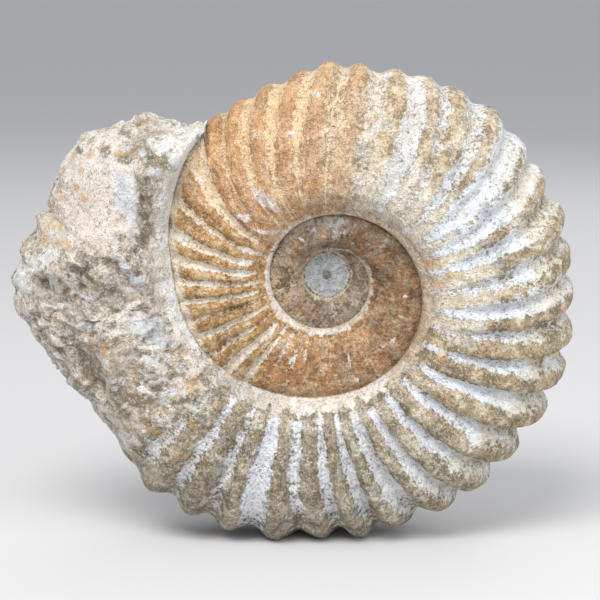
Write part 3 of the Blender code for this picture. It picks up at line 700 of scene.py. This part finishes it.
class StoneShader:
    """The stone's material, with its layers, noises and base tones, and short names for its nodes."""

    def __init__(self):
        self.material = bpy.data.materials.new("fossil stone")
        self.material.use_nodes = True
        self.tree = self.material.node_tree
        self.surface = self.tree.nodes["Principled BSDF"]
        place = self.node("TexCoord").outputs["Object"]
        self.place = self.node("VectorMath", place, None, None, 1 / MM, operation="SCALE").outputs[0]
        self.turn = self.layer("turn")
        self.share = self.layer("share")
        self.wall = self.layer("wall")
        self.medium = self.noise(8, 4, shift=40)
        self.small = self.noise(3, shift=90)
        self.dust = self.noise(1.4, 2, shift=180)
        self.grain = self.noise(0.8, 2, 0.7, shift=140)

        # Noises drawn out along the ribs or along the spiral
        self.flow = self.layer("flow", "Vector")
        self.long_flow = self.node("VectorMath", self.flow, (1, 1, 0.45), operation="MULTIPLY").outputs[0]
        self.streak = self.noise(1.4, 3, 0.65, along=self.flow)
        self.wide_streak = self.noise(4.5, 4, 0.65, along=self.flow, shift=60)
        self.fibres = self.noise(1.7, 3, 0.65, along=self.long_flow, shift=950)
        self.spiral = self.noise(1.1, 4, 0.7, along=self.layer("around", "Vector"))

        cracked = self.line(self.noise(7, 4, 0.65, shift=500), 0.5, 0.014)
        self.cracks = self.both(cracked, self.step(self.small, 0.44, 0.54))
        # early is 1 up to the first ribs of the last turn, and first is 1 on these alone
        self.early = self.step(self.turn, 0.688, 0.72, 0, 1)
        self.first = self.both(self.early, self.step(self.turn, 0.63, 0.66))

        # Ribs and worn shell: a middling, a pale and a deep brown
        self.crest = self.along_coil(
            (0, 134, 118, 100), (150, 120, 102, 84), (200, 118, 100, 80), (260, 186, 162, 130),
            (310, 136, 112, 88), (340, 156, 134, 112), (400, 104, 74, 48), (440, 114, 82, 54),
            (480, 152, 114, 80), (530, 168, 127, 84), (585, 170, 132, 80), (650, 182, 140, 88),
            (672, 190, 146, 100), (700, 193, 148, 104), (735, 204, 184, 154), (775, 180, 161, 130),
            (830, 178, 152, 114), (880, 158, 144, 118), (930, 150, 136, 112), (1040, 150, 136, 114))
        self.pale = self.along_coil(
            (0, 178, 164, 146), (190, 158, 140, 120), (260, 206, 188, 160), (310, 164, 144, 120),
            (340, 170, 152, 130), (400, 144, 112, 80), (450, 162, 130, 96), (490, 196, 160, 124),
            (530, 217, 188, 153), (600, 212, 186, 150), (680, 224, 190, 150), (702, 222, 188, 148),
            (735, 234, 217, 193), (780, 219, 211, 195), (830, 220, 205, 178), (880, 206, 199, 184),
            (1040, 202, 194, 180))
        self.deep = self.along_coil(
            (0, 100, 82, 64), (345, 92, 70, 50), (400, 78, 54, 32), (450, 88, 62, 40), (530, 122, 84, 50),
            (600, 122, 92, 50), (650, 128, 96, 54), (680, 156, 112, 74), (735, 148, 126, 94),
            (800, 126, 112, 88), (880, 106, 98, 80), (1040, 112, 100, 82))

    def node(self, kind, *inputs, **settings):
        """A new node with these inputs, where None leaves one as it is."""
        made = self.tree.nodes.new("ShaderNode" + kind)
        for name, value in settings.items():
            setattr(made, name, value)
        for slot, value in enumerate(inputs):
            self.feed(made.inputs[slot], value)
        return made

    def feed(self, slot, value):
        if isinstance(value, bpy.types.NodeSocket):
            self.tree.links.new(value, slot)
        elif value is not None:
            slot.default_value = value

    def layer(self, name, output="Fac"):
        return self.node("Attribute", attribute_name=name).outputs[output]

    def noise(self, size, detail=3, roughness=0.6, along=None, shift=0):
        """Noise with features of a size in millimetres. The shift sets it apart from the others."""
        place = self.node("VectorMath", along or self.place, (shift, shift * 0.7, shift * 1.3)).outputs[0]
        return self.node("TexNoise", place, None, 1 / size, detail, roughness).outputs[0]

    def cells(self, size, shift):
        """Distance to the nearest of many scattered points."""
        place = self.node("VectorMath", self.place, (shift, shift, shift)).outputs[0]
        return self.node("TexVoronoi", place, None, 1 / size).outputs["Distance"]

    def math(self, operation, first, second=0):
        return self.node("Math", first, second, operation=operation).outputs[0]

    def both(self, first, second):
        return self.math("MULTIPLY", first, second)

    def blend(self, *terms):
        """The sum of the terms, each given as a value and how much of it is taken."""
        total = 0
        for value, weight in reversed(terms):
            total = self.node("Math", value, weight, total, operation="MULTIPLY_ADD").outputs[0]
        return total

    def step(self, value, low, high, end=1, start=0):
        """start below low, end above high and a soft change between them."""
        made = self.node("MapRange", value, low, high, start, end, interpolation_type="SMOOTHSTEP")
        return made.outputs[0]

    def line(self, value, place, width):
        """1 where the value is at the place, falling to 0 at this width from it."""
        return self.step(self.math("ABSOLUTE", self.math("SUBTRACT", value, place)), 0, width, 0, 1)

    def patches(self, size, shift, low, high):
        """1 in scattered patches, which the step from low to high cuts out of a noise."""
        return self.step(self.noise(size, shift=shift), low, high)

    def mix(self, share, first, second):
        """A mix of two colours, each an output or 10 to 255 on a screen."""
        made = self.node("Mix", data_type="RGBA")
        for slot, value in ((0, share), (6, first), (7, second)):
            self.feed(made.inputs[slot], srgb(*value) if isinstance(value, tuple) else value)
        return made.outputs[2]

    def along_coil(self, *stops):
        """Colours along the coil, given as a turn and a screen's colour each, from turn 0 on."""
        made = self.node("ValToRGB", self.turn)
        elements = made.color_ramp.elements
        elements.remove(elements[1])
        for turn, *colour in stops:
            stop = elements.new(turn / LAST_TURN) if turn else elements[0]
            stop.color = srgb(*colour)
        return made.outputs[0]


class Paint:
    """A colour, over which others are laid in turn."""

    def __init__(self, shader, colour):
        self.shader = shader
        self.colour = colour

    def coat(self, share, colour):
        self.colour = self.shader.mix(share, self.colour, colour)


def shell_paint(s):
    """Worn shell, whose browns are broken up at several sizes."""
    light = s.blend((s.medium, 1.3), (s.small, 0.9), (s.dust, 0.8))
    paint = Paint(s, s.mix(s.step(light, 1.5, 1.72), s.crest, s.pale))
    paint.coat(s.step(light, 1.48, 1.3), s.deep)
    paint.coat(s.step(s.streak, 0.46, 0.33, 0.3), s.deep)
    paint.coat(s.step(s.wide_streak, 0.54, 0.68, 0.35), s.pale)
    olive = s.both(s.patches(5, 620, 0.53, 0.6), s.step(s.small, 0.44, 0.56))
    paint.coat(s.both(olive, s.step(s.turn, 0.6, 0.64, 0.5, 0.35)), (132, 118, 84))
    greys = s.both(s.patches(4, 700, 0.54, 0.62), s.step(s.dust, 0.45, 0.55))
    paint.coat(s.both(greys, s.step(s.turn, 0.69, 0.73, 0.7, 0.15)), (150, 153, 158))
    warm = s.mix(s.step(s.turn, 0.6, 0.68), (180, 124, 76), (204, 154, 104))
    warmth = s.both(s.step(s.noise(11, 4, 0.65, shift=400), 0.52, 0.64), s.both(s.early, 0.5))
    paint.coat(s.blend((warmth, 1), (s.step(s.small, 0.58, 0.66), 0.3)), warm)

    # Beige dust on the sheltered inner part of the upper ribs, and painted shade at the foot of the wall
    # along the seam
    beige = Paint(s, s.mix(s.step(s.small, 0.42, 0.56), (204, 190, 165), (232, 225, 211)))
    beige.coat(s.step(s.wide_streak, 0.5, 0.6, 0.7), (226, 227, 228))
    beige.coat(s.step(s.dust, 0.44, 0.34, 0.6), (150, 134, 108))
    sheltered = s.layer("sheltered")
    dusty = s.step(s.blend((sheltered, 0.7), (s.medium, 0.9)), 0.62, 0.92)
    paint.coat(s.both(dusty, 0.75), beige.colour)
    # Painted shade: darker brown in the crease at the foot of the wall beside the seam
    shade_near_seam = s.both(s.both(sheltered, s.step(s.wall, 0.75, 0.3)), s.step(s.small, 0.4, 0.56, 0.5))
    paint.coat(shade_near_seam, (158, 126, 86))

    # The first ribs of the last turn: ochre, washed out halfway across, with scratches and pale lines
    outward = s.both(s.first, s.step(s.share, 0.6, 0.85))
    paint.coat(s.both(outward, s.step(s.medium, 0.5, 0.64, 0.5)), (224, 186, 128))
    washed = s.both(s.first, s.line(s.share, 0.42, 0.3))
    washed = s.both(washed, s.step(s.noise(9, 4, shift=40), 0.46, 0.58))
    paint.coat(s.both(washed, 0.5), (222, 196, 172))
    scratches = s.line(s.noise(2.6, 1, 0.5, along=s.long_flow, shift=330), 0.5, 0.022)
    paint.coat(s.both(scratches, s.both(s.first, 0.45)), (240, 220, 192))
    on_rib = s.blend((s.layer("crest"), 1), (s.math("SUBTRACT", s.small, 0.5), 0.5))
    paint.coat(s.both(s.step(on_rib, 0.55, 0.95, 0.4), s.first), (178, 128, 80))
    paint.coat(s.both(s.step(on_rib, 0.16, 0.04, 0.75), s.first), (238, 214, 178))
    return paint


def add_deposit(s, paint):
    """White and cream deposit in the grooves, and white on the ribs' upward-facing slopes that is partly
    deposit and partly painted light. Gives back where it lies.
    """
    white = Paint(s, s.along_coil(
        (0, 190, 174, 154), (400, 194, 178, 158), (590, 226, 216, 200), (650, 228, 216, 194),
        (680, 214, 184, 142), (712, 222, 195, 154), (742, 206, 204, 198), (780, 208, 215, 223),
        (850, 210, 216, 223), (884, 205, 207, 209), (904, 226, 232, 240), (930, 208, 211, 215),
        (1040, 200, 200, 194)))
    white.coat(s.layer("cream"), (210, 205, 191))
    white.coat(s.both(s.step(s.streak, 0.5, 0.36), s.step(s.turn, 0.69, 0.73, 0.15)), (186, 178, 164))
    white.coat(s.step(s.dust, 0.44, 0.34, 0.55), s.crest)
    cool = s.both(s.step(s.medium, 0.5, 0.6, 0.6), s.math("SUBTRACT", 1, s.both(s.first, 0.85)))
    white.coat(cool, (226, 230, 236))
    covered = s.blend((s.layer("chalk"), 0.58), (s.small, 1), (s.dust, 0.7), (s.medium, 0.35))
    chalk = s.both(s.step(covered, 1.18, 1.46), s.step(s.turn, 0.69, 0.73, 0.96, 0.86))
    paint.coat(s.both(s.line(covered, 1.22, 0.06), 0.4), s.deep)
    paint.coat(chalk, white.colour)
    return chalk


def add_inner_turns(s, paint):
    """Innermost turns and the disc in their middle."""
    inner = s.step(s.turn, 0.62, 0.5)
    flecks = s.step(s.noise(5, 3, 0.6, along=s.flow, shift=200), 0.57, 0.7)
    flecks = s.both(flecks, s.step(s.dust, 0.42, 0.56, 0.75, 0.1))
    reddish = s.both(s.patches(6, 810, 0.52, 0.62), s.step(s.turn, 0.42, 0.34, 0.6, 0.2))
    green = s.both(s.patches(6, 860, 0.53, 0.62), s.step(s.small, 0.44, 0.54, 0.6, 0.2))
    dark, light = s.step(s.fibres, 0.47, 0.34, 0.4), s.step(s.fibres, 0.56, 0.68, 0.22)
    for share, tone in ((flecks, (196, 184, 168)), (reddish, (150, 132, 126)), (green, (140, 136, 112)),
                        (dark, (92, 70, 48)), (light, (186, 162, 132))):
        paint.coat(s.both(share, inner), tone)
    # Painted shade just inside the seam, under the overhang of the next turn
    paint.coat(s.both(s.layer("under"), s.step(s.small, 0.38, 0.54, 0.5, 0.2)), (112, 90, 62))

    # Pale edge of the turn before the last one, where it goes under the seam
    rim = s.layer("rim")
    # Pale deposit that turns darker brown towards the end of the seam; that darker tone is painted shade
    # beside the rock's band
    rim_tone_and_shade = s.mix(s.step(s.turn, 0.6, 0.645), (222, 210, 190), (206, 188, 160))
    rimmed = s.step(s.blend((rim, 1), (s.small, 1), (s.fibres, 0.6)), 1, 1.6, 0.85)
    paint.coat(s.both(rimmed, s.step(rim, 0, 0.15)), rim_tone_and_shade)

    disc = s.layer("disc")
    middle = Paint(s, s.mix(s.step(s.small, 0.42, 0.58), (148, 153, 156), (176, 179, 182)))
    middle.coat(s.step(s.streak, 0.46, 0.36, 0.5), (150, 150, 140))
    middle.coat(s.step(disc, 0.99, 0.55, 0.6), (196, 184, 162))
    round_disc = s.step(s.blend((disc, 1), (s.math("SUBTRACT", s.small, 0.5), 1.6)), 0.28, 0.62)
    paint.coat(round_disc, middle.colour)


def add_seam(s, paint):
    """Pale ridge and shelf along the seam."""
    seam = Paint(s, s.along_coil(
        (0, 184, 172, 152), (360, 174, 160, 136), (420, 178, 164, 142), (540, 214, 205, 192),
        (640, 210, 202, 188), (700, 176, 158, 130), (760, 188, 168, 140), (800, 186, 166, 138),
        (850, 176, 152, 124), (880, 226, 219, 208), (912, 226, 220, 210), (936, 174, 167, 155),
        (1040, 204, 206, 196)))
    seam.coat(s.step(s.spiral, 0.47, 0.36, 0.5), (186, 168, 142))
    seam.coat(s.step(s.spiral, 0.53, 0.62, 0.4), (242, 241, 239))
    seam.coat(s.step(s.dust, 0.44, 0.34, 0.45), (176, 162, 140))
    seam.coat(s.step(s.small, 0.42, 0.34, 0.5), s.crest)
    edge = s.blend((s.layer("band"), 0.8), (s.small, 1), (s.spiral, 0.8))
    paint.coat(s.step(edge, 1.14, 1.46), seam.colour)


def rock_colour(s):
    """Broken rock, with painted highlight and shade on its fine relief, its calm pale stretches and the
    smooth band beside the seam.
    """
    pitting = s.layer("pitting")
    stone = Paint(s, s.mix(s.step(s.medium, 0.42, 0.56), (182, 170, 151), (218, 207, 193)))
    stone.coat(s.step(s.small, 0.46, 0.36, 0.75), (136, 124, 104))
    stone.coat(s.step(s.dust, 0.53, 0.62, 0.75), (234, 227, 216))
    stone.coat(s.step(s.noise(10, 4, 0.65, shift=310), 0.55, 0.64, 0.55), (188, 152, 106))
    stone.coat(s.step(s.noise(6, 4, 0.65, shift=260), 0.54, 0.62, 0.8), (220, 222, 224))
    # Painted highlight on the high spots of the fine relief, and painted shade in its hollows
    stone.coat(s.step(pitting, 0.56, 0.86, 0.8), (236, 229, 218))
    stone.coat(s.step(pitting, 0.42, 0.12, 0.75), (112, 101, 82))

    flat = Paint(s, s.mix(s.step(s.noise(26, 3, 0.55), 0.42, 0.56), (230, 217, 204), (241, 229, 218)))
    flat.coat(s.step(s.small, 0.45, 0.35, 0.6), (206, 190, 172))
    flat.coat(s.step(s.medium, 0.52, 0.6, 0.6), (226, 227, 228))
    flat.coat(s.step(s.dust, 0.55, 0.64, 0.7), (244, 237, 228))
    calm = s.step(s.blend((s.layer("calm"), 1), (s.medium, 1.4), (s.dust, 0.9)), 1.3, 2)
    stone.coat(s.both(calm, 0.92), flat.colour)

    smoothed = Paint(s, s.mix(s.step(s.spiral, 0.44, 0.56), (232, 231, 225), (248, 249, 250)))
    smoothed.coat(s.step(s.small, 0.43, 0.35, 0.5), (184, 175, 154))
    yellowed = s.both(s.line(s.wall, 0.4, 0.22), s.step(s.medium, 0.46, 0.6, 0.7))
    smoothed.coat(yellowed, (206, 198, 158))
    smoothed.coat(s.line(s.wall, 0, 0.14), (238, 238, 236))
    chiselled = s.blend((s.layer("chiselled"), 0.8), (s.small, 1), (s.dust, 0.8))
    stone.coat(s.step(chiselled, 1.18, 1.5, 0.9), smoothed.colour)

    stone.coat(s.both(s.cracks, 0.65), (98, 88, 68))
    stone.coat(s.step(s.grain, 0.44, 0.32, 0.35), (104, 94, 76))
    stone.coat(s.step(s.grain, 0.56, 0.68, 0.5), (238, 232, 224))
    return stone.colour


def add_patches(s, paint):
    """The patches, frayed by noise, and the dark centre of the disc."""
    stony = s.blend((s.small, 1.2), (s.dust, 0.9), (0.15, 1))
    fibrous = s.blend((s.small, 0.7), (s.dust, 0.5), (s.fibres, 1.2))
    for name, _, solid, strength, tone, other in PATCHES:
        mask = s.layer(name)
        speckle = fibrous if name.endswith("shell") else stony
        inside = s.step(s.blend((mask, solid), (speckle, 1)), 1.38, 1.72)
        inside = s.both(inside, s.step(mask, 0, 0.25, strength))
        paint.coat(inside, s.mix(s.step(s.small, 0.42, 0.58), tone, other))
    centre = s.both(s.step(s.layer("disc_centre"), 0.3, 0.7), s.step(s.dust, 0.4, 0.52, 0.9, 0.35))
    paint.coat(centre, (110, 108, 86))


def add_specks(s, paint):
    """Dark and light specks and pinholes all over."""
    speck = s.noise(0.6, 1, shift=220)
    paint.coat(s.step(speck, 0.4, 0.28, 0.5), (98, 84, 62))
    light = s.both(s.step(speck, 0.6, 0.72), s.step(s.turn, 0.5, 0.62, 0.5, 0.15))
    paint.coat(light, (242, 236, 224))
    pinholes = s.both(s.step(s.cells(1.9, 17), 0.21, 0.12), s.step(s.small, 0.48, 0.56))
    paint.coat(s.both(pinholes, 0.55), (88, 74, 56))


def stone_material():
    s = StoneShader()
    paint = shell_paint(s)
    chalk = add_deposit(s, paint)
    add_inner_turns(s, paint)
    add_seam(s, paint)
    rocky = s.step(s.blend((s.layer("rock"), 1), (s.medium, 0.9), (s.small, 0.5)), 1.08, 1.32)
    paint.coat(s.both(s.cracks, 0.35), s.deep)
    paint.coat(rocky, rock_colour(s))
    add_patches(s, paint)
    add_specks(s, paint)
    s.feed(s.surface.inputs["Base Color"], paint.colour)

    roughness = s.step(s.blend((chalk, 0.3), (s.small, 0.7)), 0.2, 0.7, 0.96, 0.74)
    s.feed(s.surface.inputs["Roughness"], roughness)
    height = s.blend((s.small, 1), (s.dust, 0.8), (s.streak, 0.4), (s.grain, 0.4), (chalk, 0.25))
    height = s.math("SUBTRACT", height, s.both(s.cracks, 0.4))
    rock_grain = s.both(rocky, s.both(s.noise(2, 4, 0.75, shift=930), 1.6))
    bump = s.node("Bump")
    bump.inputs["Strength"].default_value = BUMP_STRENGTH
    bump.inputs["Distance"].default_value = BUMP_DISTANCE
    s.feed(bump.inputs["Height"], s.math("ADD", height, rock_grain))
    s.feed(s.surface.inputs["Normal"], bump.outputs[0])
    return s.material


mesh.materials.append(stone_material())
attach(stone, "root")
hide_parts("ammonite")

# Floor
bpy.ops.mesh.primitive_plane_add(size=FLOOR_SIZE)
floor = bpy.context.object
floor.name = "floor"
pale = bpy.data.materials.new("pale floor")
pale.use_nodes = True
pale_shader = pale.node_tree.nodes["Principled BSDF"]
pale_shader.inputs["Base Color"].default_value = (0.62, 0.62, 0.63, 1)
pale_shader.inputs["Roughness"].default_value = 0.9
floor.data.materials.append(pale)


def area_light(name, place, size, power, colour):
    data = bpy.data.lights.new(name, "AREA")
    data.shape = "RECTANGLE"
    data.size, data.size_y = size
    data.energy = power
    data.color = colour
    lamp = bpy.data.objects.new(name, data)
    scene.collection.objects.link(lamp)
    lamp.location = place
    lamp.rotation_euler = (Vector(LIT_POINT) - Vector(place)).to_track_quat("-Z", "Y").to_euler()


# Soft studio light
for lamp in (
        ("key", (-0.35, -0.9, 1.3), (0.9, 0.7), 23, (1.0, 0.98, 0.95)),
        ("fill", (1.1, -0.9, 0.7), (1.0, 0.8), 9, (0.95, 0.97, 1.0)),
        ("back", (0.5, 1.2, 1.1), (1.2, 0.9), 5, (1.0, 0.98, 0.95))):
    area_light(*lamp)
world = bpy.data.worlds.new("studio")
scene.world = world
world.use_nodes = True
background = world.node_tree.nodes["Background"]
background.inputs["Color"].default_value = (0.86, 0.88, 0.92, 1)
background.inputs["Strength"].default_value = 0.66

camera_data = bpy.data.cameras.new("camera")
camera = bpy.data.objects.new("camera", camera_data)
scene.collection.objects.link(camera)
aim = Vector((-middle_x * MM + AIM_FROM_AXIS[0], 0, -FLOOR * MM + AIM_FROM_AXIS[1]))
drop = math.radians(CAMERA_DROP)
camera.location = aim + CAMERA_RANGE * Vector((0, -math.cos(drop), math.sin(drop)))
camera.rotation_euler = (math.pi / 2 - drop, 0, 0)
camera_data.sensor_width = SENSOR
camera_data.sensor_fit = "HORIZONTAL"
camera_data.lens = SENSOR * CAMERA_RANGE / VIEW_WIDTH
scene.camera = camera
scene.view_settings.view_transform = "Standard"
